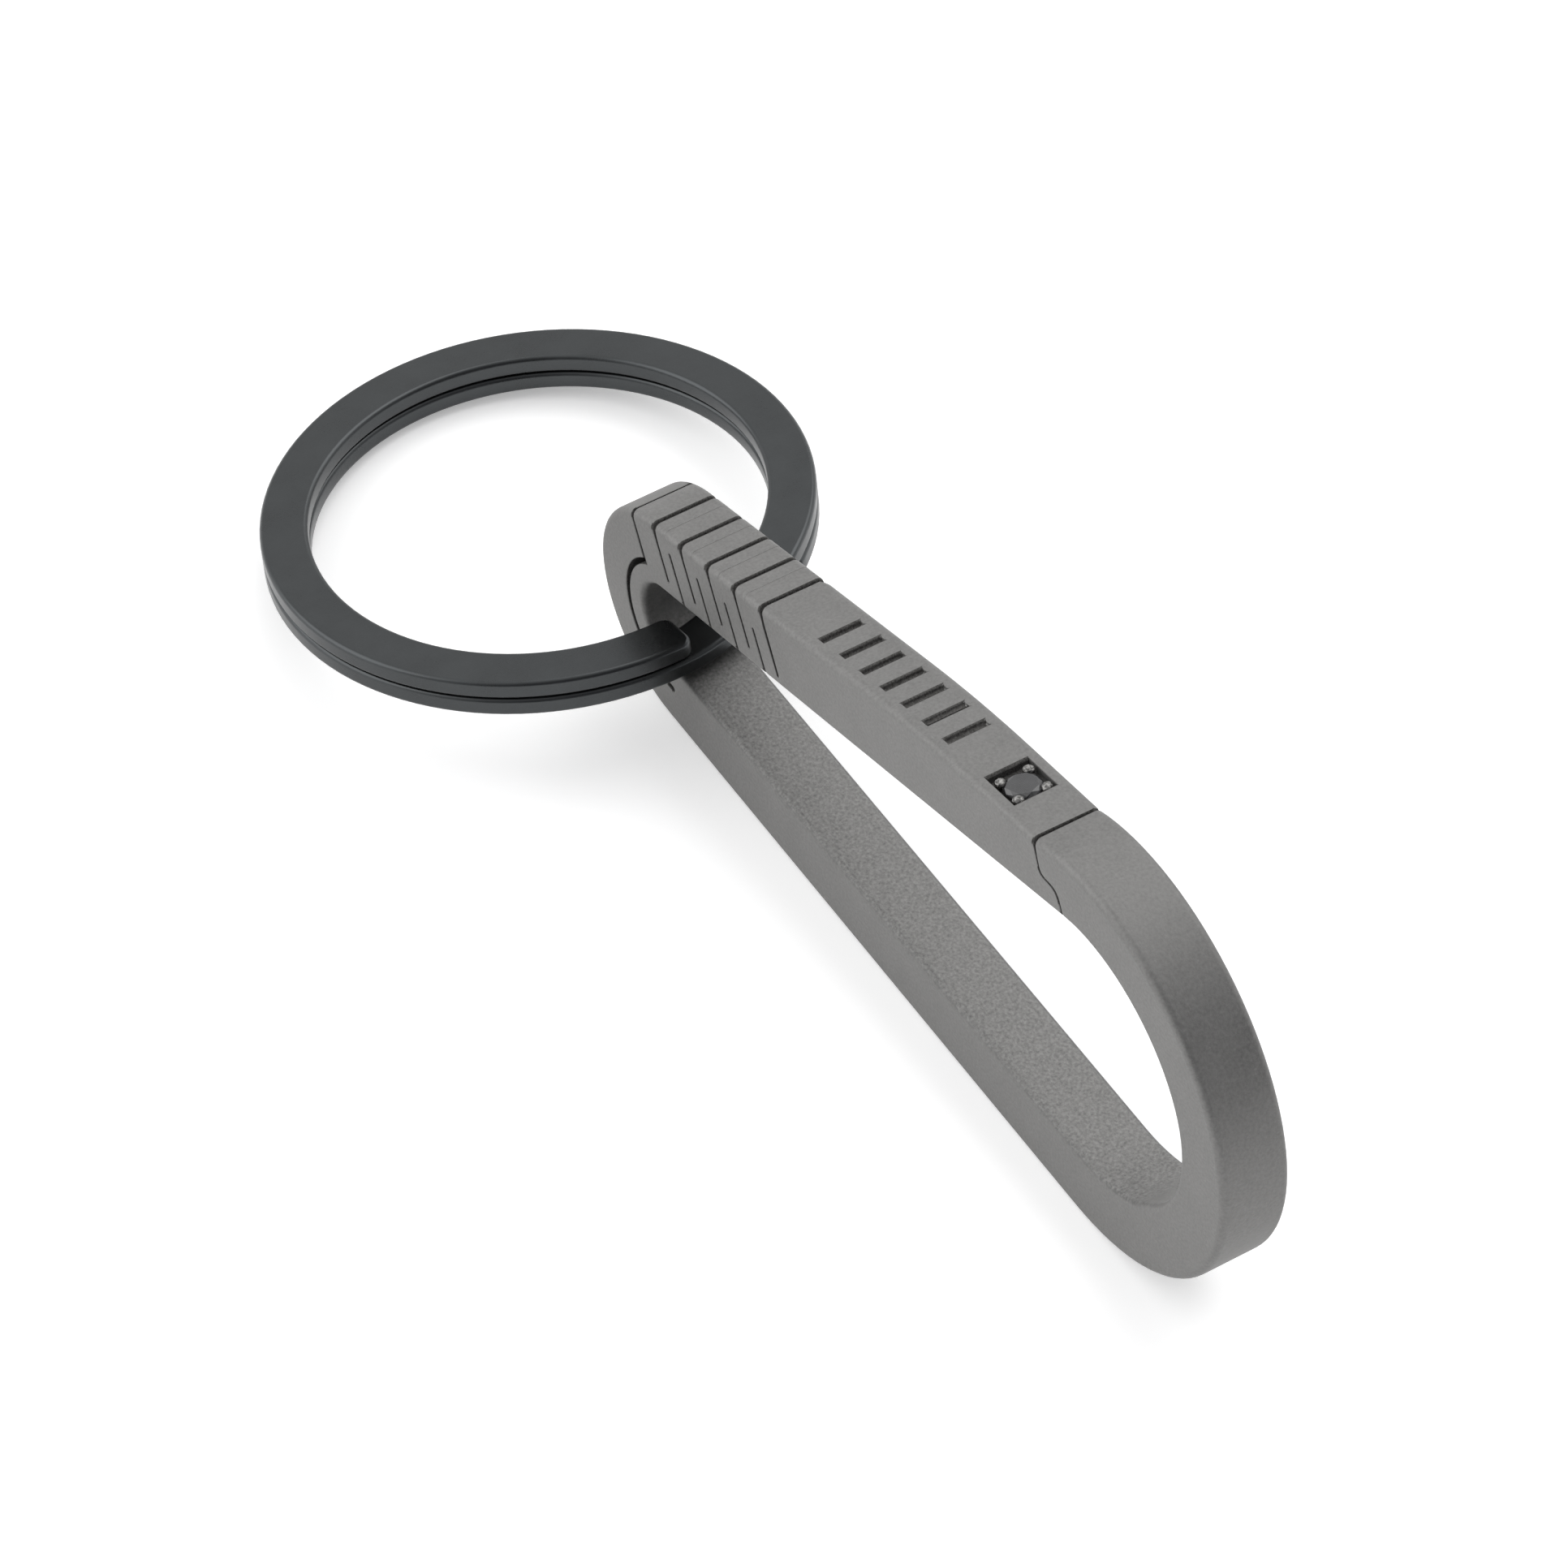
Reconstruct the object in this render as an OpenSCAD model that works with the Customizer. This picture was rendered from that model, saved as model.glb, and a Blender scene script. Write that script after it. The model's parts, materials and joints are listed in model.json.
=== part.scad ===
// Key organiser: a small one-piece titanium carabiner standing on its spine edge, with a
// gate sprung by a row of cut leaves, a set stone, and a flat two-turn split ring in its eye.
// Millimetres. +X runs along the spine from the eye to the bow, +Z is up from the resting
// face, Y is across the width. The origin is on the resting face, under the eye's centre.

/* [Carabiner body] */
// Width of the whole body, across the plate
body_w = 4.26; // [3.4:0.01:6]
// Thickness of the spine, and of the wall round the eye
spine_t = 4.65; // [3.9:0.05:5.6]
// Radius of the eye that holds the split ring
eye_r = 2.7; // [2.5:0.05:3.3]
// Distance from the eye's centre to the bow's outer centre, along the spine
bow_x = 41.82; // [36:0.02:51]
// Outer radius of the bow
bow_r = 13.28; // [12.4:0.02:15]
// Inner radius of the bow, where a belt loop or cord seats
seat_r = 8.9; // [8.3:0.05:9.3]
// How far the seat's centre lies beyond the bow's outer centre
seat_shift = 0.28; // [0:0.02:0.6]

/* [Gate] */
// Distance from the gate's mouth back to its crest
crest_back = 11.2; // [8:0.1:14]
// Height of the crest above the straight line from the eye to the bow
crest_rise = 0.9; // [0.4:0.05:1.3]
// Length over which the crest is rounded, to each side
crest_round = 5; // [2:0.5:7]
// Distance from the bow's outer centre back to the gate's mouth
mouth_back = 5.22; // [4.4:0.02:6.2]
// Gap between the gate's nose and the hook
mouth_gap = 0.12; // [0.08:0.01:0.2]
// Lean of the mouth's wall away from square, so that the nose swings clear
mouth_lean = 22; // [20:1:30]
// Depth of the hook's nose, from the outer face to its underside
hook_depth = 1.95; // [1.6:0.05:2.4]
// Length of the toe that catches under the hook
toe_l = 1.7; // [1.3:0.05:2.1]

/* [Spring cuts] */
// Number of cuts that open at the gate's outer face
cut_count = 5; // [5:1:5]
// Distance between neighbouring outer cuts, along the gate
cut_pitch = 2.95; // [2.7:0.05:3.4]
// Distance from the eye's upper tangent point to the first outer cut
first_cut = 1.47; // [1.3:0.01:1.8]
// Distance from an outer cut to the inner cut that follows it
inner_offset = 1.28; // [1.1:0.02:1.5]
// Width of every cut
cut_w = 0.25; // [0.2:0.01:0.35]
// Angle of the cuts to the gate
cut_angle = 78.3; // [72:0.1:86]
// Metal left under an outer cut
inner_web = 1.1; // [0.9:0.05:1.3]
// Metal left under the last outer cut, which is cut deeper
last_web = 0.7; // [0.6:0.05:1]
// Depth of the first inner cut
inner_cut = 3.5; // [3.2:0.05:3.7]
// How much shallower each inner cut is than the one before
inner_cut_step = 0.17; // [0:0.01:0.2]
// Gap where one leaf turns on the next
web_gap = 0.04; // [0.03:0.005:0.06]

/* [Eye spring] */
// Distance from the first outer cut back to the guard's slit, along the gate
guard_pitch = 2.36; // [2.1:0.02:2.6]
// Thickness of the strip that wraps the eye
eye_wall = 1.53; // [1.3:0.01:1.8]
// Width of the curved slot
slot_w = 0.37; // [0.3:0.01:0.45]
// Angle of the curved slot's lower end, seen from the eye's centre
slot_end = 274; // [262:1:284]

/* [Engraving and stone] */
// Number of plain engraved bars, a generic stand-in for lettering
bar_count = 7; // [3:1:7]
// Distance between engraved bars
bar_pitch = 2.05; // [1.8:0.05:2.1]
// Distance from the stone back to the nearest bar
bar_gap = 5.25; // [3:0.05:5.5]
// Length of a bar, across the width
bar_l = 2.6; // [1.6:0.1:2.8]
// Width of a bar
bar_w = 0.45; // [0.3:0.05:0.8]
// Depth of the bars
bar_depth = 0.3; // [0.15:0.05:0.5]
// Distance from the gate's mouth back to the middle of the stone's pocket
pocket_back = 4.35; // [3.6:0.05:5.5]
// Side of the square pocket
pocket_side = 2.7; // [2.5:0.05:3]
// Depth of the pocket
pocket_depth = 0.5; // [0.4:0.05:0.7]
// Radius of the stone's girdle
stone_r = 1.1; // [0.9:0.02:1.15]
// Clearance round the stone in its seat
stone_fit = 0.02; // [0.01:0.01:0.05]
// Radius of the metal beads that hold the stone
bead_r = 0.26; // [0.2:0.01:0.3]

/* [Split ring] */
// Outer radius of the split ring
ring_r = 16; // [15:0.1:20]
// Width of the flat strip, across the face
strip_w = 2.8; // [2.4:0.05:3]
// Thickness of the strip
strip_t = 1.15; // [0.9:0.01:1.2]
// Rounding of the strip's edges
strip_round = 0.28; // [0.15:0.01:0.4]
// Gap between the two turns
turn_gap = 0.06; // [0.04:0.01:0.1]
// Gap between the ring and the eye's floor, where it rests
ring_rest_gap = 0.08; // [0.05:0.01:0.15]
// Offset of the ring's centre to the front of the body
ring_front = 2.2; // [0:0.1:2.4]
// Place of the strip's inner edge before the eye's centre
ring_inset = 0.6; // [0.3:0.05:0.7]
// Angle of the upper turn's free end, round the ring from the eye
free_end = 3; // [0:0.5:4]
// Angle at which the crossover ramp starts to rise
ramp_start = 5; // [5:0.5:6]
// Angle at which the crossover reaches the upper turn
ramp_end = 38; // [34:1:44]
// Arc of the upper turn that lifts when the ring is pried open
lift_arc = 90; // [75:5:110]

/* [Hidden] */
$fn = 96;
LEAVES = 2 * cut_count - 2;

titanium = [0.53, 0.52, 0.51];
leaf_grey = [0.58, 0.57, 0.56];
ring_black = [0.16, 0.17, 0.18];
far = 12; // reach of a cutting shape out past the band of metal
past = 1; // reach of a cutting shape back into the window

function unit(a) = [cos(a), sin(a)];
function angle_of(v) = atan2(v[1], v[0]);

// The two circles of the outline and the two of the window, each pair joined by tangents
eye_c = [0, spine_t + eye_r];
end_r = spine_t + eye_r;
bow_c = [bow_x, bow_r];
seat_c = [bow_x + seat_shift, spine_t + seat_r];

// Angle of the upper outward normal of the two circles' common tangent
function upper_normal(c1, r1, c2, r2) = angle_of(c2 - c1) + acos((r1 - r2) / norm(c2 - c1));
function lower_normal(c1, r1, c2, r2) = angle_of(c2 - c1) - acos((r1 - r2) / norm(c2 - c1));

outer_normal = upper_normal(eye_c, end_r, bow_c, bow_r);
window_normal = upper_normal(eye_c, eye_r, seat_c, seat_r);
along = unit(window_normal - 90); // direction of the gate's inner edge
edge_start = eye_c + eye_r * unit(window_normal); // where the eye meets that edge

// Crest of the gate's outer face, with the mouth's top on the bow's circle
mouth_x = bow_x - mouth_back;
crest_x = mouth_x - crest_back;
mouth_top = [mouth_x, bow_c[1] + sqrt(bow_r * bow_r - mouth_back * mouth_back)];
tangent_start = eye_c + end_r * unit(outer_normal);
crest_foot = tangent_start
    + (crest_x - tangent_start[0]) / cos(outer_normal - 90) * unit(outer_normal - 90);
crest = crest_foot + crest_rise * unit(outer_normal);
crest_tangent = eye_c + end_r * unit(angle_of(crest - eye_c) + acos(end_r / norm(crest - eye_c)));
rear_dir = (crest_tangent - crest) / norm(crest_tangent - crest);
nose_dir = (mouth_top - crest) / norm(mouth_top - crest);
function crest_curve(t) =
    pow(1 - t, 2) * (crest + crest_round * rear_dir)
    + 2 * t * (1 - t) * crest
    + t * t * (crest + crest_round * nose_dir);

// Height and slope of the gate's outer face at a place along X
function face_dir(x) = x < crest[0] ? -rear_dir : nose_dir;
function face_point(x) = crest + (x - crest[0]) / face_dir(x)[0] * face_dir(x);

// Cut lines: each starts on the gate's inner edge and runs outwards
cut_dir = unit(window_normal - 90 + 180 - cut_angle);
cut_side = unit(window_normal - 90 + 90 - cut_angle);
function outer_cut_at(i) = edge_start + (first_cut + (i - 1) * cut_pitch) * along;
function inner_cut_at(i) = outer_cut_at(i) + inner_offset * along;
function web_at(i) = i == cut_count ? last_web : inner_web;
function inner_depth(i) = inner_cut - (i - 1) * inner_cut_step;
// Boundary k between pieces: odd ones are outer cuts, even ones are inner cuts
function bound_at(k) = k % 2 == 1 ? outer_cut_at((k + 1) / 2) : inner_cut_at(k / 2);

// Guard slit, curved slot and the corner where they meet
slot_shift = [0.1, -0.2]; // the strip is thinnest at its upper end, where it bends most
slot_c = eye_c + slot_shift;
slot_in = eye_r + eye_wall;
slot_r = slot_in + slot_w;
slit_base = edge_start + (first_cut - guard_pitch) * along;
slit_to_c = slit_base - slot_c;
slit_half = slit_to_c * cut_dir;
slit_reach = -slit_half + sqrt(slit_half * slit_half - slit_to_c * slit_to_c + slot_in * slot_in);
corner = slit_base + slit_reach * cut_dir;
corner_angle = angle_of(corner - eye_c);

// Hook side of the mouth, from the outer face to the window; the gate's side is set back.
// The toe's top is almost level, its tip dips, and its underside slopes down to the window.
mouth_lip = mouth_top + [hook_depth * tan(mouth_lean), -hook_depth];
mouth_above = 2;
toe_rise = 0.1;
toe_dip = 0.2;
under_run = [1.1, -2.4];
mouth_corners = [
    mouth_top + mouth_above * [-tan(mouth_lean), 1],
    mouth_lip,
    mouth_lip + [0.75 * toe_l, toe_rise],
    mouth_lip + [toe_l, -toe_dip],
    mouth_lip + [toe_l, -toe_dip] + under_run,
];
corner_reach = 0.45; // length of a path's side that each rounded corner takes up
corner_steps = 5;

// A path with each inner corner replaced by a short curve
function step_back(a, b) = a + min(corner_reach, norm(b - a) / 2) * (b - a) / norm(b - a);
function corner_curve(a, b, c, t) =
    pow(1 - t, 2) * step_back(b, a) + 2 * t * (1 - t) * b + t * t * step_back(b, c);
function rounded(path) = [
    path[0],
    for (i = [1 : len(path) - 2], j = [0 : corner_steps])
        corner_curve(path[i - 1], path[i], path[i + 1], j / corner_steps),
    path[len(path) - 1],
];
mouth_path = rounded(mouth_corners);
nose_path = [for (p = mouth_path) p - [mouth_gap, mouth_gap]];

// Stone and beads, measured in the pocket's own frame: +Z out of the face
pocket_x = mouth_x - pocket_back;
pocket_at = face_point(pocket_x);
pocket_slope = angle_of(face_dir(pocket_x));
girdle_t = 0.12;
crown_h = 0.32;
table_r = 0.62 * stone_r;
pavilion_h = 0.9;
culet_r = 0.12;
stone_lift = 0.04; // girdle above the pocket's floor
bead_lift = 0.12; // bead's centre above the pocket's floor
bead_gap = 0.02;
girdle_z = stone_lift - pocket_depth;
bead_reach = stone_r + bead_r + bead_gap;

// Split ring: tilted, low side on the floor, strip passing just over the eye's floor
ring_in = ring_r - strip_w;
turn_pitch = strip_t + turn_gap;
eye_floor = eye_c[1] - sqrt(eye_r * eye_r - ring_inset * ring_inset) + ring_rest_gap;
// Solves ring_r * sin(a) + ring_in * tan(a) = eye_floor, with cos(a) from a first estimate
ring_tilt = asin(eye_floor / (ring_r + ring_in / cos(asin(eye_floor / (ring_r + ring_in)))));
ring_c = [-ring_inset - ring_in, -ring_front, ring_r * sin(ring_tilt)];
low_z = strip_t / 2;
high_z = low_z + turn_pitch;
lift_split = 0.15; // angle between the fixed part of the upper turn and the part that lifts
end_corner_r = 0.7; // rounding of the free end's two corners, seen from above

// Circles and tangents in one outline, like a belt round two wheels
module belt_2d(c1, r1, c2, r2) {
    low = lower_normal(c1, r1, c2, r2);
    high = upper_normal(c1, r1, c2, r2);
    translate(c1) circle(r1);
    translate(c2) circle(r2);
    polygon([c1 + r1 * unit(low), c2 + r2 * unit(low), c2 + r2 * unit(high), c1 + r1 * unit(high)]);
}

// The closed band of metal before it is cut: outline with its crest, less the window
module band_2d() {
    difference() {
        union() {
            translate(eye_c) circle(end_r);
            translate(bow_c) circle(bow_r);
            polygon(concat(
                [eye_c, eye_c - [0, end_r], bow_c - [0, bow_r], bow_c, mouth_top],
                [for (i = [8 : -1 : 0]) crest_curve(i / 8)],
                [crest_tangent]
            ));
        }
        belt_2d(eye_c, eye_r, seat_c, seat_r);
    }
}

// A straight cut along a cut line, from one distance outwards to another, with round ends
module cut_2d(at, from, to, width) {
    translate(at) rotate(angle_of(cut_dir)) {
        translate([from, -width / 2]) square([to - from, width]);
        translate([from, 0]) circle(width / 2, $fn = 32);
        translate([to, 0]) circle(width / 2, $fn = 32);
    }
}

// Hairline gap across a web, so that the leaves on its two sides are separate solids
module web_split_2d(at, from, to) {
    translate(at) rotate(angle_of(cut_dir)) translate([from, -web_gap / 2]) square([to - from, web_gap]);
}

module all_cuts_2d() {
    for (i = [1 : cut_count]) {
        cut_2d(outer_cut_at(i), web_at(i) + cut_w / 2, far, cut_w);
        web_split_2d(outer_cut_at(i), -past, far);
    }
    for (i = [1 : cut_count - 1]) {
        cut_2d(inner_cut_at(i), -past, inner_depth(i) - cut_w / 2, cut_w);
        web_split_2d(inner_cut_at(i), -past, far);
    }
}

// Parallel strip of the gate between two boundaries
module between_2d(k) {
    a = bound_at(k);
    b = bound_at(k + 1);
    polygon([a - past * cut_dir, a + far * cut_dir, b + far * cut_dir, b - past * cut_dir]);
}

// Wedge seen from the eye's centre, from one angle round to another
module strip_wedge_2d(from, to) {
    steps = 8;
    polygon(concat(
        [eye_c],
        [for (i = [0 : steps]) eye_c + far * unit(from + (to - from) * i / steps)]
    ));
}

module radial_split_2d(angle) {
    translate(eye_c) rotate(angle) translate([0, -web_gap / 2]) square([slot_r + slot_w, web_gap]);
}

// Stands a flat shape up and gives it the body's width, half to each side
module plate() {
    rotate([90, 0, 0]) translate([0, 0, -body_w / 2]) linear_extrude(body_w) children();
}

// Spine, small end with its guard, bow and hook: everything that doesn't move
module carabiner_frame() {
    color(titanium) plate() difference() {
        band_2d();
        // the gate with the slit that frees it from the guard
        polygon(concat(
            [eye_c, corner - cut_w * cut_side, corner - cut_w * cut_side + far * cut_dir],
            mouth_path,
            [seat_c]
        ));
        // the strip with its curved slot
        intersection() {
            translate(slot_c) circle(slot_r);
            strip_wedge_2d(corner_angle, slot_end);
        }
        translate(slot_c + (slot_r - slot_w / 2) * unit(slot_end)) circle(slot_w / 2, $fn = 32);
        radial_split_2d(slot_end);
    }
}

// Flat spring that wraps the eye, from the slot's lower end up to the gate's root
module eye_strip() {
    color(leaf_grey) plate() difference() {
        intersection() {
            band_2d();
            translate(slot_c) circle(slot_in);
            strip_wedge_2d(corner_angle, slot_end);
        }
        radial_split_2d(corner_angle);
        radial_split_2d(slot_end);
    }
}

// Block between the guard's slit and the first cut
module gate_root() {
    color(titanium) plate() difference() {
        intersection() {
            band_2d();
            polygon([
                eye_c,
                corner,
                corner + far * cut_dir,
                bound_at(1) + far * cut_dir,
                bound_at(1) - past * cut_dir
            ]);
        }
        radial_split_2d(corner_angle);
        all_cuts_2d();
    }
}

// Leaf k lies between boundaries k and k + 1 and is joined at alternate ends
module spring_leaf(k) {
    color(k % 2 == 1 ? leaf_grey : titanium) plate() difference() {
        intersection() {
            band_2d();
            between_2d(k);
        }
        all_cuts_2d();
    }
}

// Moves a child into the pocket's frame: origin on the outer face, +Z out of it
module in_pocket() {
    translate([pocket_at[0], 0, pocket_at[1]]) rotate([0, -pocket_slope, 0]) children();
}

// Seat for the stone, larger than the stone by its clearance all round
module stone_shape(grow = 0) {
    translate([0, 0, girdle_z - pavilion_h - grow])
        cylinder(pavilion_h + grow, culet_r + grow, stone_r + grow);
    translate([0, 0, girdle_z]) cylinder(girdle_t + grow, r = stone_r + grow);
    translate([0, 0, girdle_z + girdle_t]) cylinder(crown_h, stone_r + grow, table_r + grow);
}

module gate_arm() {
    color(titanium) difference() {
        plate() difference() {
            intersection() {
                band_2d();
                polygon(concat(
                    [bound_at(LEAVES + 1) - past * cut_dir, bound_at(LEAVES + 1) + far * cut_dir],
                    nose_path,
                    [seat_c]
                ));
            }
            all_cuts_2d();
        }
        for (i = [0 : bar_count - 1]) {
            x = pocket_x - bar_gap - i * bar_pitch;
            translate([x, 0, face_point(x)[1]])
                rotate([0, -angle_of(face_dir(x)), 0])
                cube([bar_w, bar_l, 2 * bar_depth], center = true);
        }
        in_pocket() {
            translate([0, 0, -pocket_depth]) linear_extrude(pocket_depth + past)
                square(pocket_side, center = true);
            stone_shape(stone_fit);
        }
    }
}

module black_stone() {
    color([0.1, 0.1, 0.11]) in_pocket() stone_shape();
}

// Four raised grains at the pocket's corners
module setting_beads() {
    color([0.75, 0.74, 0.72]) in_pocket() intersection() {
        for (a = [45 : 90 : 315]) rotate([0, 0, a])
            translate([bead_reach, 0, bead_lift - pocket_depth]) sphere(bead_r, $fn = 32);
        translate([0, 0, -pocket_depth]) linear_extrude(pocket_depth) square(pocket_side, center = true);
    }
}

// Places a child in the ring's frame: angles are counted from the eye, +Z is the ring's axis
module in_ring() {
    translate(ring_c) rotate([0, -ring_tilt, 0]) children();
}

// Cross-section of the flat strip with its four edges rounded, centred on its own middle
module strip_2d() {
    square([strip_w - 2 * strip_round, strip_t], center = true);
    square([strip_w, strip_t - 2 * strip_round], center = true);
    for (x = [-1, 1], y = [-1, 1])
        translate([x * (strip_w / 2 - strip_round), y * (strip_t / 2 - strip_round)])
            circle(strip_round, $fn = 32);
}

module turn_arc(from, to, height) {
    translate([0, 0, height]) rotate([0, 0, from]) rotate_extrude(angle = to - from, $fn = 180)
        translate([ring_r - strip_w / 2, 0]) strip_2d();
}

module ring_lower_turn() {
    color(ring_black) in_ring() turn_arc(ramp_end - 360, ramp_start, low_z);
}

// Ramp of the same strip, swept from the lower turn up to the upper one; half of its climb
// is even and half is eased at both ends
module ring_crossover() {
    steps = 16;
    half_w = strip_w / 2;
    half_t = strip_t / 2;
    r = strip_round;
    // Eight corners of the strip's section, with chamfers in place of the roundings
    section = [
        [half_w, r - half_t], [half_w, half_t - r], [half_w - r, half_t], [r - half_w, half_t],
        [-half_w, half_t - r], [-half_w, r - half_t], [r - half_w, -half_t], [half_w - r, -half_t],
    ];
    sides = len(section);
    points = [
        for (i = [0 : steps], p = section)
            let (
                t = i / steps,
                a = ramp_start + (ramp_end - ramp_start) * t,
                rise = turn_pitch * (0.5 * t + 0.5 * t * t * (3 - 2 * t)),
                reach = ring_r - half_w + p[0]
            )
            [reach * cos(a), reach * sin(a), low_z + rise + p[1]]
    ];
    walls = [
        for (i = [0 : steps - 1], j = [0 : sides - 1])
            [
                i * sides + j,
                (i + 1) * sides + j,
                (i + 1) * sides + (j + 1) % sides,
                i * sides + (j + 1) % sides,
            ]
    ];
    start_cap = [[for (j = [0 : sides - 1]) j]];
    end_cap = [[for (j = [sides - 1 : -1 : 0]) steps * sides + j]];
    color(ring_black) in_ring() polyhedron(points, concat(walls, start_cap, end_cap), convexity = 4);
}

module ring_upper_turn() {
    color(ring_black) in_ring() turn_arc(ramp_end - 360, free_end - lift_arc - lift_split, high_z);
}

// The last part of the upper turn, up to its free end with two rounded corners
module ring_lifting_end() {
    color([0.24, 0.25, 0.27]) in_ring() difference() {
        turn_arc(free_end - lift_arc, free_end, high_z);
        for (edge = [ring_in, ring_r]) rotate([0, 0, free_end]) {
            inward = edge == ring_in ? 1 : -1;
            translate([edge, 0, high_z]) difference() {
                cube([2 * end_corner_r, 2 * end_corner_r, 2 * strip_t], center = true);
                translate([inward * end_corner_r, -end_corner_r, 0])
                    cylinder(3 * strip_t, r = end_corner_r, center = true);
            }
        }
    }
}

carabiner_frame();
eye_strip();
gate_root();
for (i = [1 : LEAVES]) spring_leaf(i);
gate_arm();
black_stone();
setting_beads();
ring_lower_turn();
ring_crossover();
ring_upper_turn();
ring_lifting_end();
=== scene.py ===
import json
import math

import bpy
from mathutils import Matrix, Vector

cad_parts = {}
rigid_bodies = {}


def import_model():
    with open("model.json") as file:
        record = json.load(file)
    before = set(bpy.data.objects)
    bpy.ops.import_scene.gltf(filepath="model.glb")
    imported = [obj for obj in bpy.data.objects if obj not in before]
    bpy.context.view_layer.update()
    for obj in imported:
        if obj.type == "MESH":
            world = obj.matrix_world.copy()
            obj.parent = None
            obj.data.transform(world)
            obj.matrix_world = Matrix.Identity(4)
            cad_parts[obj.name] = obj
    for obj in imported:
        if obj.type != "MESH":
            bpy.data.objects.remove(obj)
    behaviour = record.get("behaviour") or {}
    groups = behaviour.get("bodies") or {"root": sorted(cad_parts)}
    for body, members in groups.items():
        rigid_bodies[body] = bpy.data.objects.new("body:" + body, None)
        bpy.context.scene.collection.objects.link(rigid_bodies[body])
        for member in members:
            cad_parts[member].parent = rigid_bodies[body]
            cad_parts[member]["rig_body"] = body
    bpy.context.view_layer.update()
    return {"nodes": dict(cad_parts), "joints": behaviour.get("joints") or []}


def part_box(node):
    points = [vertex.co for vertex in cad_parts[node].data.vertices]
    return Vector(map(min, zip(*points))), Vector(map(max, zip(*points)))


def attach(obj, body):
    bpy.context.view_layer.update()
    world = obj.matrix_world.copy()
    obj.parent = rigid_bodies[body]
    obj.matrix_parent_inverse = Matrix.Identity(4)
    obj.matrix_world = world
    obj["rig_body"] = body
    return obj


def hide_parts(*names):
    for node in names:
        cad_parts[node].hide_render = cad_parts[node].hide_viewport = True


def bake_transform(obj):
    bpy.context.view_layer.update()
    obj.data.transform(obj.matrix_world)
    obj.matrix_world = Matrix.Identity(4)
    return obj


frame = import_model()

# ---------------------------------------------------------------------------------------
# View and light: the key organiser lies on a white sweep, seen from above its bow, under
# two broad soft boxes, one behind it and one on its left, in a white room whose end in
# front of the bow is dark.
# ---------------------------------------------------------------------------------------
mm = 0.001
view_turn = math.radians(32.13)
view_height = math.radians(49.13)
view_distance = 491.4 * mm
view_aim = Vector((10.14, -0.84, 3.25)) * mm

across = Vector((math.sin(view_turn), math.cos(view_turn), 0))
away = Vector((-math.cos(view_turn), math.sin(view_turn), 0))
forward = math.cos(view_height) * away - math.sin(view_height) * Vector((0, 0, 1))
upward = math.sin(view_height) * away + math.cos(view_height) * Vector((0, 0, 1))

camera = bpy.data.objects.new("camera", bpy.data.cameras.new("camera"))
bpy.context.scene.collection.objects.link(camera)
camera.matrix_world = Matrix.Translation(view_aim - view_distance * forward) @ Matrix(
    (across, upward, -forward)).transposed().to_4x4()
camera.data.lens = 202.3
camera.data.clip_start = 10 * mm
bpy.context.scene.camera = camera


def soft_box(name, side, size, power):
    """A square soft box on that side of the object, turned to face it."""
    lamp = bpy.data.lights.new(name, "AREA")
    lamp.size = size
    lamp.energy = power
    box = bpy.data.objects.new(name, lamp)
    bpy.context.scene.collection.objects.link(box)
    box.location = view_aim + side
    box.rotation_euler = side.to_track_quat("Z", "Y").to_euler()


soft_box("back_box", side=0.35 * across + 0.5 * away + Vector((0, 0, 0.75)), size=0.8, power=3)
soft_box("left_box", side=-1.1 * across + 0.1 * away + Vector((0, 0, 0.7)), size=1.2, power=6)


class Wire:
    """A shader node's output. Sums on it add Math nodes, and node() adds any other node."""

    def __init__(self, tree, socket=None):
        self.tree = tree
        self.socket = socket

    def node(self, kind, settings, sockets, output=0):
        made = self.tree.nodes.new(kind)
        for name, value in settings.items():
            setattr(made, name, value)
        for name, value in sockets.items():
            if isinstance(value, Wire):
                self.tree.links.new(value.socket, made.inputs[name])
            else:
                made.inputs[name].default_value = value
        return Wire(self.tree, made.outputs[output])

    def maths(self, operation, first, second=0.0):
        return self.node("ShaderNodeMath", {"operation": operation}, {0: first, 1: second})

    def __add__(self, other):
        return self.maths("ADD", self, other)

    __radd__ = __add__

    def __sub__(self, other):
        return self.maths("SUBTRACT", self, other)

    def __rsub__(self, other):
        return self.maths("SUBTRACT", other, self)

    def __mul__(self, other):
        return self.maths("MULTIPLY", self, other)

    __rmul__ = __mul__

    def __abs__(self):
        return self.maths("ABSOLUTE", self)

    def band(self, low, high):
        """0 below low and 1 above high, with a soft step between them."""
        sockets = {"Value": self, "From Min": low, "From Max": high}
        return self.node("ShaderNodeMapRange", {"interpolation_type": "SMOOTHSTEP"}, sockets)

    def tint(self, colour_0, colour_1):
        """One colour where this is 0 and the other where it is 1."""
        return self.node("ShaderNodeMix", {"data_type": "RGBA"}, {0: self, 6: colour_0, 7: colour_1}, 2)

    def along(self, direction):
        """How far this vector runs in a direction."""
        sockets = {0: self, 1: direction}
        return self.node("ShaderNodeVectorMath", {"operation": "DOT_PRODUCT"}, sockets, "Value")


white_wall = (1.05, 1.05, 1.05, 1)
dark_wall = (0.2, 0.2, 0.21, 1)
dark_end = Vector((0.9, -0.15, 0.3)).normalized()
world = bpy.data.worlds.new("studio")
world.use_nodes = True
room = Wire(world.node_tree).node("ShaderNodeTexCoord", {}, {}, "Generated")
room_light = room.along(dark_end).band(0.1, 0.95).tint(white_wall, dark_wall)
world.node_tree.links.new(room_light.socket, world.node_tree.nodes["Background"].inputs["Color"])
bpy.context.scene.world = world
bpy.context.scene.view_settings.view_transform = "Standard"


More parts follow.
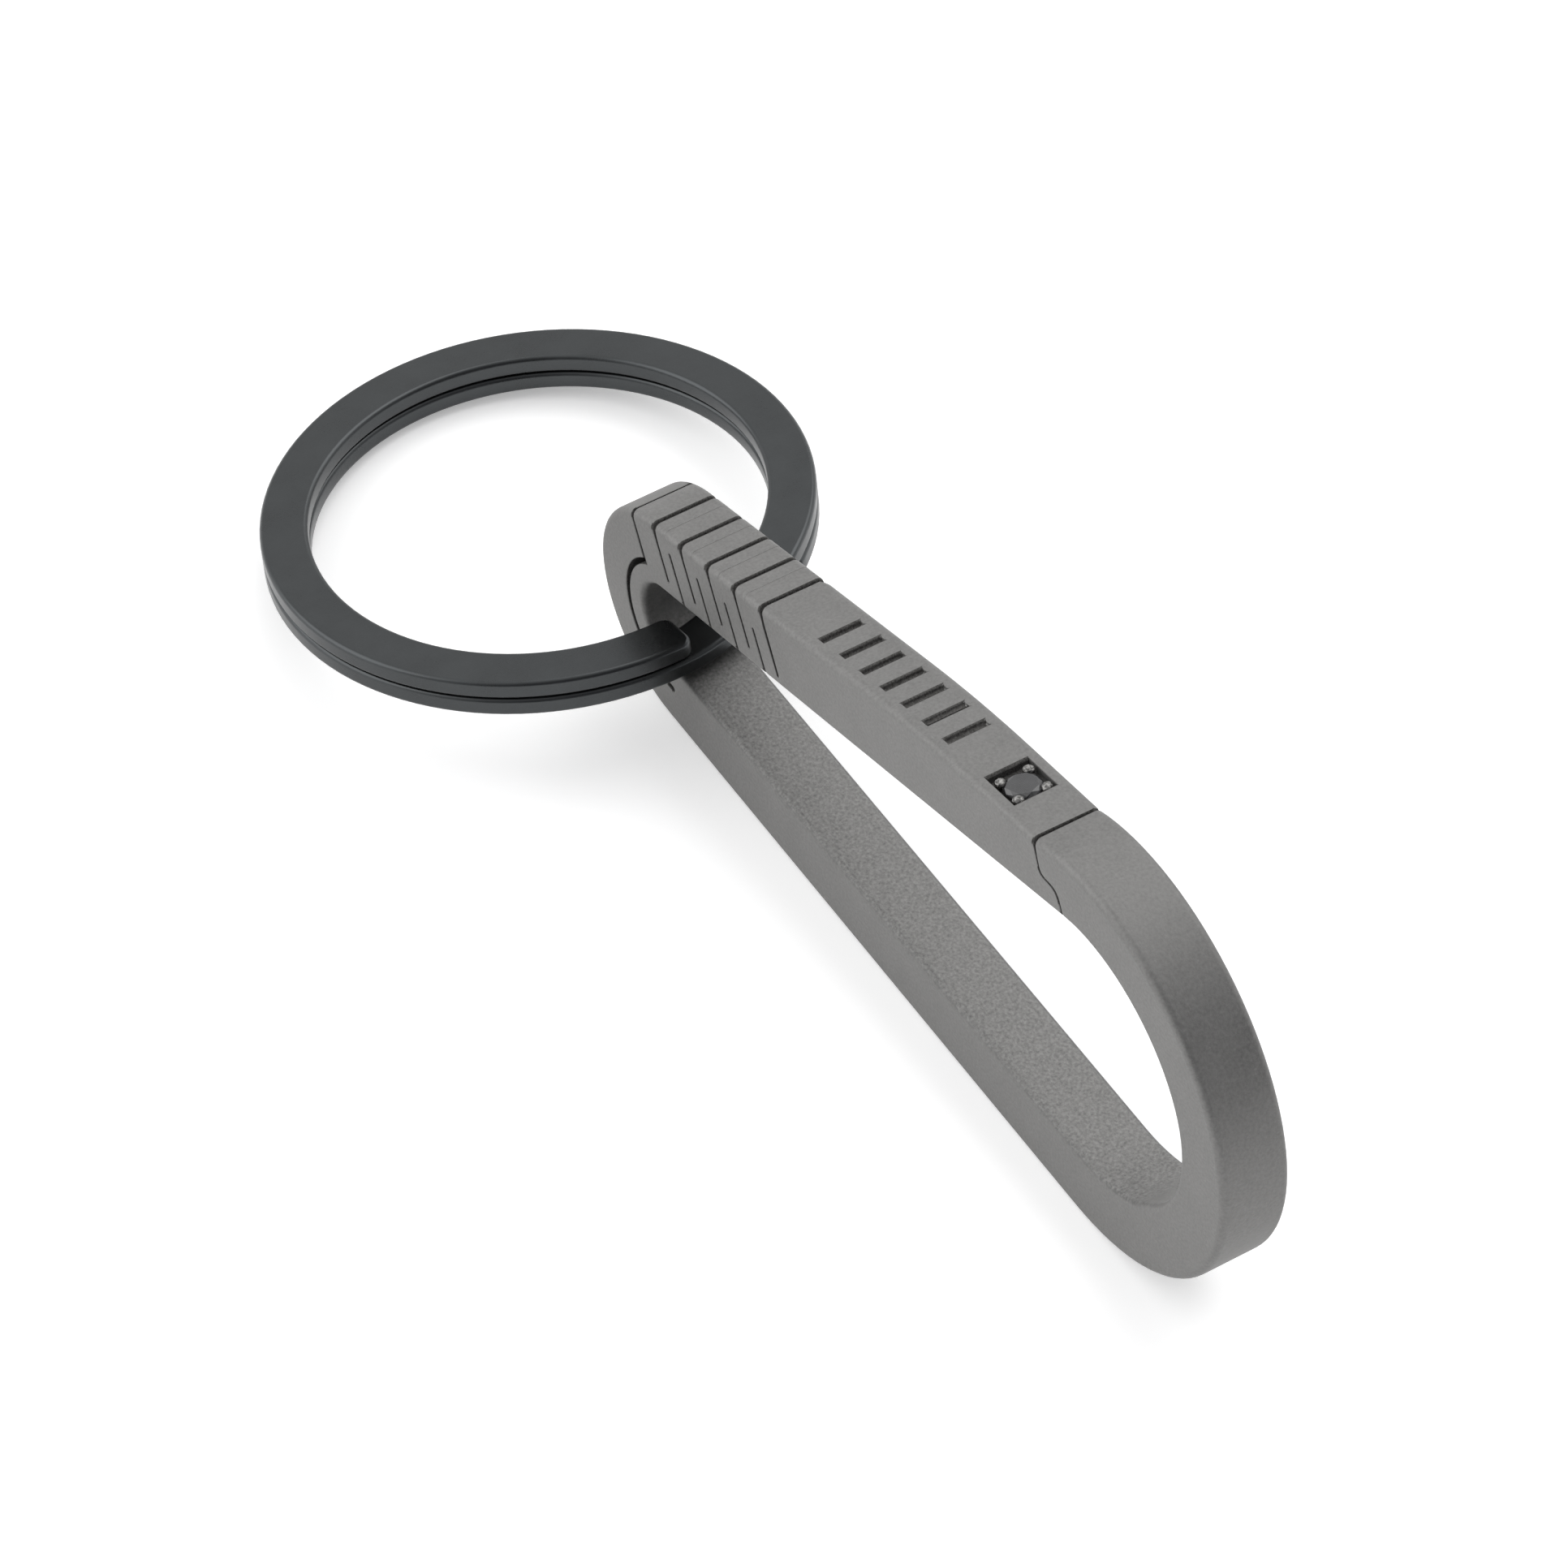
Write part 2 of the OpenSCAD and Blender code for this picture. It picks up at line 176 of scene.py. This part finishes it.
def deselect():
    """Leaves object mode with nothing selected."""
    if bpy.context.object and bpy.context.object.mode != "OBJECT":
        bpy.ops.object.mode_set(mode="OBJECT")
    bpy.ops.object.select_all(action="DESELECT")


deselect()
floor_size = 3
floor_gap = 0.01 * mm  # below the resting face, so that the two don't flicker
bpy.ops.mesh.primitive_plane_add(size=floor_size, location=(0, 0, -floor_gap))
floor = bpy.context.object
floor.name = "floor"
floor_white = bpy.data.materials.new("white_sweep")
floor_white.use_nodes = True
floor_look = floor_white.node_tree.nodes["Principled BSDF"].inputs
floor_look["Base Color"].default_value = (0.93, 0.93, 0.93, 1)
floor_look["Roughness"].default_value = 0.9
floor_look["Emission Color"].default_value = (1, 1, 1, 1)
floor_look["Emission Strength"].default_value = 0.32
floor.data.materials.append(floor_white)

# ---------------------------------------------------------------------------------------
# Titanium body: one plate, cut to shape, with its edges rounded over and then blasted
# with fine beads. Slits part the gate into leaves that are still joined by thin webs,
# and each leaf is a piece of its own here, so that the gate can bend leaf by leaf.
# ---------------------------------------------------------------------------------------
titanium_nodes = ["carabiner_frame", "eye_strip", "gate_root"]
titanium_nodes += [f"spring_leaf_{number}" for number in range(1, 9)]
titanium_nodes += ["gate_arm"]

eye_radius = 2.7 * mm
end_radius = 7.35 * mm
eye_centre = Vector((0, end_radius))
bow_radius = 13.28 * mm
bow_centre = Vector((41.82 * mm, bow_radius))
seat_radius = 8.9 * mm
seat_centre = Vector((42.1 * mm, 13.55 * mm))
body_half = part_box("carabiner_frame")[1].y

# Gate's outer face: two slopes that meet in a crest, rounded over for some way to each side
gate_start = Vector((-2.264 * mm, 14.343 * mm))
crest = Vector((25.15 * mm, 23.22 * mm))
mouth = Vector((36.6 * mm, 25.491 * mm))
crest_reach = 5 * mm

seam_gap = 0.0005 * mm
flat_enough = math.radians(0.1)
outer_rounding = 0.45 * mm
window_rounding = 0.4 * mm
edge_break = 0.04 * mm
lip_rounding = 0.13 * mm
sharp_corner = math.radians(35)
web_fill = 0.019 * mm  # each side of a web grows by this, so that the hairline closes
web_slack = 0.025 * mm  # and is found again within this of where it was
web_reach = 1.2 * mm  # a web's middle is nearer than this to its pivot
on_it = 0.03 * mm  # a point nearer than this lies on a face
wall_lean = 0.2  # the sideways part of a wall's normal stays below this


def band_distance(point, centre_1, radius_1, centre_2, radius_2):
    """Distance of a point outside the belt round two circles, or below zero inside it."""
    span = (centre_2 - centre_1).length
    along = (centre_2 - centre_1) / span
    local = point - centre_1
    x, y = abs(local.x * along.y - local.y * along.x), local.dot(along)
    slope = (radius_1 - radius_2) / span
    level = math.sqrt(1 - slope * slope)
    reach = y * level - x * slope
    if reach < 0:
        return math.hypot(x, y) - radius_1
    if reach > level * span:
        return math.hypot(x, y - span) - radius_2
    return x * level + y * slope - radius_1


def gate_height(x):
    """Height of the gate's outer face at a place along the body."""
    back = crest + crest_reach * (gate_start - crest).normalized()
    front = crest + crest_reach * (mouth - crest).normalized()
    if x < back.x:
        return gate_start.y + (x - gate_start.x) * (crest.y - gate_start.y) / (crest.x - gate_start.x)
    if x > front.x:
        return mouth.y + (x - mouth.x) * (crest.y - mouth.y) / (crest.x - mouth.x)
    share = (x - back.x) / (front.x - back.x)
    return (1 - share) ** 2 * back.y + 2 * share * (1 - share) * crest.y + share ** 2 * front.y


def on_outline(vertex):
    """True on the body's outer face: the table's side, the eye's end, the gate or the bow."""
    x, z = vertex.co.x, vertex.co.z
    if z < on_it:
        return True
    if x > mouth.x + on_it:
        return math.hypot(x - bow_centre.x, z - bow_centre.y) > bow_radius - on_it
    if x > gate_start.x and z > end_radius:
        return z > gate_height(x) - on_it
    return math.hypot(x, z - end_radius) > end_radius - on_it


def on_gate_top(vertex):
    """True on the gate's outer face or the rounding along its edges."""
    x, z = vertex.co.x, vertex.co.z
    in_reach = gate_start.x + outer_rounding < x < mouth.x + outer_rounding
    rounded_depth = 1.08 * outer_rounding
    return in_reach and z > gate_height(x) - rounded_depth


def on_window(vertex):
    """True on the long window's wall, from the eye to the bow's seat."""
    point = Vector((vertex.co.x, vertex.co.z))
    return abs(band_distance(point, eye_centre, eye_radius, seat_centre, seat_radius)) < on_it


def copy_of(node_name, piece_name):
    """The CAD node's shape as a new piece, its seams merged and its flat faces made whole."""
    deselect()
    piece = bpy.data.objects.new(piece_name, frame["nodes"][node_name].data.copy())
    bpy.context.scene.collection.objects.link(piece)
    piece.data.materials.clear()
    bpy.context.view_layer.objects.active = piece
    piece.select_set(True)
    bpy.ops.mesh.customdata_custom_splitnormals_clear()
    bpy.ops.object.mode_set(mode="EDIT")
    bpy.ops.mesh.select_mode(type="EDGE")
    bpy.ops.mesh.select_all(action="SELECT")
    bpy.ops.mesh.remove_doubles(threshold=seam_gap)
    bpy.ops.mesh.dissolve_limited(angle_limit=flat_enough)
    bpy.ops.object.mode_set(mode="OBJECT")
    return piece


def pick(kind, wanted):
    """Selects the wanted edges or polygons of the active piece and nothing else."""
    data = bpy.context.object.data
    bpy.context.tool_settings.mesh_select_mode = (False, kind == "edges", kind == "polygons")
    for group in (data.vertices, data.edges, data.polygons):
        group.foreach_set("select", [False] * len(group))
    for item in getattr(data, kind):
        item.select = wanted(item)


def drop(piece, unwanted):
    """Takes the unwanted edges out of what is selected, and every face that would bring them back."""
    piece.data.polygons.foreach_set("select", [False] * len(piece.data.polygons))
    for edge in piece.data.edges:
        if unwanted(edge):
            edge.select = False


def pick_sharp(corner):
    """Selects the edges of the active piece that turn by more than that angle."""
    pick("edges", lambda edge: False)
    bpy.ops.object.mode_set(mode="EDIT")
    bpy.ops.mesh.edges_select_sharp(sharpness=corner)
    bpy.ops.object.mode_set(mode="OBJECT")


def round_over(rounding, steps):
    """Rounds the selected edges."""
    bpy.ops.object.mode_set(mode="EDIT")
    bpy.ops.mesh.bevel(offset=rounding, segments=steps, affect="EDGES", clamp_overlap=False)
    bpy.ops.object.mode_set(mode="OBJECT")


def webs_of(piece):
    """The (index, pivot, direction) of every web's face, which runs through a bending joint."""
    found = []
    pivots = [Vector(joint["pos_m"]) for joint in frame["joints"] if "flex" in joint["name"]]
    for pivot in pivots:
        for face in piece.data.polygons:
            arm = face.center - pivot
            through_pivot = abs(arm.dot(face.normal)) < on_it
            if arm.length < web_reach and through_pivot and abs(face.normal.y) < wall_lean:
                found.append((face.index, pivot, face.normal.copy()))
    return found


def mark_lips(piece):
    """Gives the cutter's finish, darkened as painted shade, to the rounded lips of the cuts across the
    gate's outer face.
    """
    probe = 0.1 * mm
    lip_depth = 1.3 * outer_rounding
    lip_lean = 0.25
    for face in piece.data.polygons:
        x, z = face.center.x, face.center.z
        along = Vector((2 * probe, 0, gate_height(x + probe) - gate_height(x - probe))).normalized()
        on_top = gate_start.x < x < mouth.x + outer_rounding and z > gate_height(x) - lip_depth
        if on_top and abs(face.normal.dot(along)) > lip_lean:
            face.material_index = 1


def on_web(edge, points, webs):
    """True for an edge of a web's flat face."""
    return any(all(abs((points[end].co - pivot).dot(direction)) < web_slack for end in edge.vertices)
               for index, pivot, direction in webs)


def on_side(edge, points):
    """True for an edge that lies in one of the plate's two flat sides."""
    middle = sum(points[end].co.y for end in edge.vertices) / 2
    return abs(middle) > 0.995 * body_half


def round_sharp(piece, webs, rounding, steps, wanted):
    """Rounds the sharp edges, but a web's, that are wanted for where their ends lie."""
    pick_sharp(sharp_corner)
    points = piece.data.vertices
    drop(piece, lambda edge: on_web(edge, points, webs)
         or not wanted([on_gate_top(points[end]) for end in edge.vertices]))
    round_over(rounding, steps)


def round_body_edges(piece):
    """Closes the webs' hairlines, rounds the outer and window edges and the cuts' lips, and
    breaks the other sharp edges."""
    webs = webs_of(piece)
    for index, pivot, direction in webs:
        pick("polygons", lambda face: face.index == index)
        bpy.ops.object.mode_set(mode="EDIT")
        bpy.ops.transform.translate(value=direction * web_fill)
        bpy.ops.object.mode_set(mode="OBJECT")
    for rounding, on_wall in ((outer_rounding, on_outline), (window_rounding, on_window)):
        points = piece.data.vertices
        pick("edges", lambda edge: on_side(edge, points)
             and all(on_wall(points[end]) for end in edge.vertices))
        round_over(rounding, steps=5)
    round_sharp(piece, webs, lip_rounding, steps=3, wanted=all)
    mark_lips(piece)
    round_sharp(piece, webs, edge_break, steps=1, wanted=lambda on_top: not any(on_top))


def smooth(piece, corner):
    """Smooth shading up to that corner, which keeps the flat faces flat."""
    deselect()
    bpy.context.view_layer.objects.active = piece
    piece.select_set(True)
    bpy.ops.object.shade_smooth_by_angle(angle=corner)
    bpy.ops.object.modifier_add(type="WEIGHTED_NORMAL")
    piece.modifiers[-1].keep_sharp = True
    bpy.ops.object.modifier_apply(modifier=piece.modifiers[-1].name)


def noise(place, scale, detail, roughness=0.5):
    """Cloudy values round 0.5, where scale is the number of blotches in a metre."""
    sockets = {"Vector": place, "Scale": scale, "Detail": detail, "Roughness": roughness}
    return place.node("ShaderNodeTexNoise", {}, sockets)


def new_finish(name, metallic):
    """An empty material: its shader and the place on the piece that it is drawn at."""
    finish = bpy.data.materials.new(name)
    finish.use_nodes = True
    shader = finish.node_tree.nodes["Principled BSDF"]
    shader.inputs["Metallic"].default_value = metallic
    coordinates = Wire(finish.node_tree).node("ShaderNodeTexCoord", {}, {}, "Object")
    return finish, shader, coordinates


def lay_on(shader, colour, roughness, relief, strength, depth):
    """Feeds what varies over a surface into its shader."""
    bump = relief.node("ShaderNodeBump", {}, {"Strength": strength, "Distance": depth, "Height": relief})
    for name, wire in (("Base Color", colour), ("Roughness", roughness), ("Normal", bump)):
        wire.tree.links.new(wire.socket, shader.inputs[name])


def blasted_titanium():
    """Even grey with a fine bead-blasted grain and painted glints; grain stronger on the spine's inner
    face, which is painted paler as painted light, with painted shade on the rounded edges and its fold."""
    dark_grain_and_painted_shade = (0.130, 0.129, 0.126, 1)
    pale_grain_and_painted_light = (0.275, 0.272, 0.266, 1)
    finish, shader, place = new_finish("blasted_titanium", 0.85)
    facing = place.node("ShaderNodeTexCoord", {}, {}, "Normal")
    side = abs(facing.node("ShaderNodeSeparateXYZ", {}, {0: facing}, "Y"))
    level = facing.node("ShaderNodeSeparateXYZ", {}, {0: facing}, "Z")
    height = place.node("ShaderNodeSeparateXYZ", {}, {0: place}, "Z")
    grain = noise(place, 5200, 3, 0.65)
    clouds = noise(place, 420, 3, 0.55)
    # Painted glints: bright specks laid into the colour
    sparkle = noise(place, 4300, 1).band(0.68, 0.8)
    low_down = 1 - height.band(5.5 * mm, 7 * mm)
    # Painted light: the spine's inner face is painted paler (+0.08 in tone), and its grain made stronger
    inner_face = level.band(0.5, 0.8) * low_down
    # edge finds the rounded edges: painted shade darkens their colour, and their roughness is lowered
    edge = side.band(0.25, 0.6) * (1 - side.band(0.75, 0.98))
    # Painted shade along the rounded fold where the spine's near face meets its inner face
    painted_fold_shade = edge * level.band(0.2, 0.5) * low_down
    contrast = 1.1 + 1.3 * inner_face
    tone = 0.5 + (grain - 0.5) * contrast + (clouds - 0.5) * 0.35 + sparkle * 0.16 + inner_face * 0.08
    colour = (tone - edge * 0.08 - painted_fold_shade * 0.3).tint(dark_grain_and_painted_shade, pale_grain_and_painted_light)
    roughness = 0.6 + (grain - 0.5) * 0.2 + (clouds - 0.5) * 0.1 - edge * 0.04
    relief = grain + 0.4 * noise(place, 15000, 1)
    lay_on(shader, colour, roughness, relief, strength=0.35, depth=0.02 * mm)
    return finish


def cut_titanium():
    """The walls of the slits and the floors of the engraving: torn by the cutter, and darker as painted
    shade.
    """
    # Painted shade over the cutter's ridged grain: these colours are darker than the blasted face inside
    # the cuts
    groove_in_painted_shade = (0.045, 0.043, 0.041, 1)
    ridge = (0.15, 0.147, 0.142, 1)
    finish, shader, place = new_finish("cut_titanium", 0.7)
    ridges = noise(place, 9000, 4, 0.7)
    colour = ridges.band(0.3, 0.75).tint(groove_in_painted_shade, ridge)
    lay_on(shader, colour, 0.62 + ridges * 0.3, ridges, strength=0.9, depth=0.05 * mm)
    return finish


def mark_cuts(piece):
    """Gives the cutter's finish, darkened as painted shade, to each wall inside the metal: slits, mouth,
    engraving, pocket.
    """
    points = piece.data.vertices
    for face in piece.data.polygons:
        corners = [points[index] for index in face.vertices]
        on_wall = any(all(on(corner) for corner in corners) for on in (on_outline, on_window))
        if abs(face.normal.y) < wall_lean and not on_wall:
            face.material_index = 1


body_finish = blasted_titanium()
# The cuts' finish: the cutter's grain, with painted shade inside the cuts
slit_finish_and_shade = cut_titanium()
for node_name in titanium_nodes:
    piece = copy_of(node_name, node_name + "_titanium")
    piece.data.materials.append(body_finish)
    piece.data.materials.append(slit_finish_and_shade)
    mark_cuts(piece)
    round_body_edges(piece)
    smooth(piece, sharp_corner)
    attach(piece, frame["nodes"][node_name]["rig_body"])
    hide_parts(node_name)

# ---------------------------------------------------------------------------------------
# Stone: a small round black stone with a flat table and cut facets, seated level with the
# gate's face in a square pocket.
# ---------------------------------------------------------------------------------------
pocket_place = Vector((32.25, 0, 24.627)) * mm
pocket_slope = math.radians(-11.23)
stone_shift = 0.2 * mm  # towards the mouth, off the pocket's middle
stone_radius = 1.1 * mm
stone_seat = -0.37 * mm
girdle_height = 0.12 * mm
girdle_corners = 16
crown_corners = 8
bezel_radius = 0.93 * stone_radius
bezel_height = 0.12 * mm
table_radius = 0.78 * stone_radius
table_height = 0.22 * mm
culet_radius = 0.12 * mm
culet_depth = 0.95 * mm
facet_break = 0.012 * mm


def into_pocket(piece):
    """Moves a piece made round the origin onto the sloping face of the gate."""
    deselect()
    bpy.context.view_layer.objects.active = piece
    piece.select_set(True)
    piece.rotation_euler = (0, pocket_slope, 0)
    up_the_slope = Vector((math.cos(pocket_slope), 0, -math.sin(pocket_slope)))
    piece.location = pocket_place + stone_shift * up_the_slope
    bpy.ops.object.transform_apply(location=True, rotation=True, scale=True)


def ring_of_points(count, radius, height, turned=0.0):
    """Adds a level ring of corners for the stone's facets to the mesh in edit mode."""
    bpy.ops.mesh.primitive_circle_add(vertices=count, radius=radius, location=(0, 0, height),
                                      rotation=(0, 0, turned))


deselect()
ring_of_points(girdle_corners, stone_radius, stone_seat)
stone = bpy.context.object
stone.name = "black_stone_facets"
bpy.ops.object.transform_apply(location=True)
bpy.ops.object.mode_set(mode="EDIT")
crown_seat = stone_seat + girdle_height
half_facet = math.radians(22.5)
ring_of_points(girdle_corners, stone_radius, crown_seat)
ring_of_points(crown_corners, bezel_radius, crown_seat + bezel_height, half_facet)
ring_of_points(crown_corners, table_radius, crown_seat + table_height)
ring_of_points(crown_corners, culet_radius, stone_seat - culet_depth)
bpy.ops.mesh.select_all(action="SELECT")
bpy.ops.mesh.convex_hull()
bpy.ops.mesh.select_all(action="SELECT")
bpy.ops.mesh.dissolve_limited(angle_limit=math.radians(1))
bpy.ops.mesh.select_all(action="SELECT")
bpy.ops.mesh.bevel(offset=facet_break, segments=1, affect="EDGES")
bpy.ops.object.mode_set(mode="OBJECT")
into_pocket(stone)


def polished_black_stone():
    """Black through and through, polished, with faint clouds and a few unpolished specks."""
    deep_black = (0.010, 0.010, 0.011, 1)
    clouded_black = (0.040, 0.040, 0.043, 1)
    finish, shader, place = new_finish("polished_black_stone", 0)
    clouds = noise(place, 1500, 3, 0.6)
    specks = noise(place, 9000, 1).band(0.62, 0.7)
    colour = clouds.tint(deep_black, clouded_black)
    roughness = 0.14 + clouds * 0.12 + specks * 0.15
    lay_on(shader, colour, roughness, clouds, strength=0.12, depth=0.02 * mm)
    shader.inputs["IOR"].default_value = 1.7
    return finish


stone.data.materials.append(polished_black_stone())
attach(stone, "gate")
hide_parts("black_stone")

# ---------------------------------------------------------------------------------------
# Setting beads: four grains that a graver has raised from the pocket's corners and pushed
# over the stone's rim. They are the gate's own titanium, torn bright by the tool.
# ---------------------------------------------------------------------------------------
bead_radius = 0.31 * mm
bead_reach = 1.27 * mm
bead_height = -0.17 * mm
bead_stretch = (1.0, 1.15, 0.85)
bead_unevenness = 0.035 * mm
bead_corner = math.radians(50)
bead_parts = []
for corner in range(4):
    angle = math.radians(45 + 90 * corner)
    deselect()
    bpy.ops.mesh.primitive_ico_sphere_add(subdivisions=4, radius=bead_radius)
    bead = bpy.context.object
    bpy.ops.object.mode_set(mode="EDIT")
    bpy.ops.mesh.select_all(action="SELECT")
    bpy.ops.transform.resize(value=bead_stretch)
    bpy.ops.transform.vertex_random(offset=bead_unevenness, uniform=0.4, normal=0.6, seed=3 + corner)
    bpy.ops.mesh.vertices_smooth(factor=0.5, repeat=2)
    bpy.ops.transform.rotate(value=-angle, orient_axis="Z", center_override=(0, 0, 0))
    bpy.ops.transform.translate(
        value=(bead_reach * math.cos(angle), bead_reach * math.sin(angle), bead_height))
    bpy.ops.object.mode_set(mode="OBJECT")
    bead_parts.append(bead)
deselect()
for bead in bead_parts:
    bead.select_set(True)
bpy.context.view_layer.objects.active = bead_parts[0]
bpy.ops.object.join()
beads = bpy.context.object
beads.name = "setting_beads_grains"
into_pocket(beads)
smooth(beads, bead_corner)


def torn_bright_titanium():
    """Bare metal where the graver has cut: shinier than the blasted face, and uneven."""
    tear = (0.07, 0.069, 0.067, 1)
    bright_metal = (0.34, 0.335, 0.325, 1)
    finish, shader, place = new_finish("torn_bright_titanium", 1)
    tears = noise(place, 6000, 4, 0.65)
    colour = tears.band(0.3, 0.7).tint(tear, bright_metal)
    lay_on(shader, colour, 0.2 + tears * 0.3, tears, strength=0.8, depth=0.05 * mm)
    return finish


beads.data.materials.append(torn_bright_titanium())
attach(beads, "gate")
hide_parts("setting_beads")

# ---------------------------------------------------------------------------------------
# Split ring: one flat steel strip with rounded edges, wound two turns round and coated
# black. One side lies on the table and the other on the eye's floor, where the lower turn
# climbs to become the upper one. The free end is a piece of its own.
# ---------------------------------------------------------------------------------------
ring_radius = 16 * mm
strip_width = 2.8 * mm
strip_thick = 1.15 * mm
strip_rounding = 0.28 * mm
end_rounding = 0.7 * mm
turn_pitch = 1.21 * mm
ring_centre = Vector((-13.8, -2.2, 2.6125)) * mm
ring_tilt = math.radians(9.397)
# Angles round the ring, counted from the eye
ramp_start, ramp_end = math.radians(5), math.radians(38)
free_end = math.radians(3)
lift_seam = math.radians(-120)
sweep_step = math.radians(3.2)
section_slack = 0.1 * mm
square_corner = math.radians(60)


def strip_height(angle):
    """Height of the strip's middle at an angle that counts on past a full turn."""
    share = min(max((angle - ramp_start) / (ramp_end - ramp_start), 0), 1)
    climb = 0.5 * share + 0.5 * share * share * (3 - 2 * share)
    return strip_thick / 2 + turn_pitch * climb


def turn_section(angle):
    """Carries what is selected round the ring's axis, the way the strip is wound."""
    bpy.ops.transform.rotate(value=-angle, orient_axis="Z", center_override=(0, 0, 0))


def wind_strip(name, start, end):
    """Sweeps the strip's flat section round the ring, as a square bar with sharp edges."""
    deselect()
    bpy.ops.mesh.primitive_plane_add(size=1)
    strip = bpy.context.object
    strip.name = name
    bpy.ops.object.mode_set(mode="EDIT")
    bpy.ops.mesh.select_all(action="SELECT")
    bpy.ops.transform.rotate(value=math.radians(90), orient_axis="X", center_override=(0, 0, 0))
    bpy.ops.transform.resize(value=(strip_width, 1, strip_thick), center_override=(0, 0, 0))
    bpy.ops.transform.translate(value=(ring_radius - strip_width / 2, 0, strip_height(start)))
    turn_section(start)
    steps = math.ceil((end - start) / sweep_step)
    step = (end - start) / steps
    for number in range(steps):
        angle = start + number * step
        bpy.ops.mesh.extrude_region_move()
        turn_section(step)
        bpy.ops.transform.translate(value=(0, 0, strip_height(angle + step) - strip_height(angle)))
    bpy.ops.mesh.select_all(action="SELECT")
    bpy.ops.mesh.normals_make_consistent(inside=False)
    bpy.ops.object.mode_set(mode="OBJECT")
    return strip


def across_section(point, angle):
    """True for a corner that lies in the section across the strip at that angle."""
    off_section = point.co.y * math.cos(angle) - point.co.x * math.sin(angle)
    ahead = point.co.x * math.cos(angle) + point.co.y * math.sin(angle)
    return abs(off_section) < section_slack and ahead > 0


def round_strip(strip, plain_end):
    """Rounds the strip's long edges and its end's, but not where it runs on as another piece."""
    pick_sharp(square_corner)
    points = strip.data.vertices
    drop(strip, lambda edge: all(across_section(points[end], plain_end) for end in edge.vertices))
    round_over(strip_rounding, steps=5)


def lay_ring(strip):
    """Tips the finished strip into the eye."""
    deselect()
    bpy.context.view_layer.objects.active = strip
    strip.select_set(True)
    strip.rotation_euler = (0, -ring_tilt, 0)
    strip.location = ring_centre
    bpy.ops.object.transform_apply(location=True, rotation=True, scale=True)
    smooth(strip, sharp_corner)


full_turn = math.radians(360)
coil = wind_strip("split_ring_coil", ramp_end - full_turn, lift_seam + full_turn)
round_strip(coil, lift_seam)
lay_ring(coil)

tip = wind_strip("split_ring_free_end", lift_seam + full_turn, free_end + full_turn)
tip_points = tip.data.vertices


def on_end_corner(edge):
    """True for the two upright edges of the strip's free end."""
    one, other = (tip_points[end] for end in edge.vertices)
    upright = abs(one.co.z - other.co.z) > 0.5 * strip_thick
    return upright and across_section(one, free_end) and across_section(other, free_end)


pick("edges", on_end_corner)
round_over(end_rounding, steps=6)
round_strip(tip, lift_seam)
lay_ring(tip)


def satin_black_steel():
    """Thin black coating on tumbled steel: satin, with a painted highlight, a little paler, where an
    edge turns over.
    """
    coating = (0.048, 0.050, 0.051, 1)
    # The pale end of the tint: coating paler at random, and the painted highlight on the edges
    paler_coating_and_edge_highlight = (0.080, 0.085, 0.088, 1)
    finish, shader, place = new_finish("satin_black_steel", 1)
    axis = (-math.sin(ring_tilt), 0, math.cos(ring_tilt))
    flat = abs(place.node("ShaderNodeTexCoord", {}, {}, "Normal").along(axis))
    edge = flat.band(0.1, 0.5) * (1 - flat.band(0.6, 0.97))
    pores = noise(place, 8000, 3, 0.6)
    clouds = noise(place, 350, 3, 0.6)
    # edge * 0.12 is a painted highlight on the strip's rounded edges; clouds and pores vary the tone at
    # random
    tone = 0.45 + (clouds - 0.5) * 0.5 + (pores - 0.5) * 0.25 + edge * 0.12
    colour = tone.tint(coating, paler_coating_and_edge_highlight)
    roughness = 0.3 + (clouds - 0.5) * 0.12 + (pores - 0.5) * 0.1
    relief = pores + 0.5 * clouds
    lay_on(shader, colour, roughness, relief, strength=0.12, depth=0.02 * mm)
    return finish


ring_finish = satin_black_steel()
coil.data.materials.append(ring_finish)
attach(coil, "ring")
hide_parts("ring_lower_turn", "ring_crossover", "ring_upper_turn")

tip.data.materials.append(ring_finish)
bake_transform(tip)
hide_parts("ring_lifting_end")
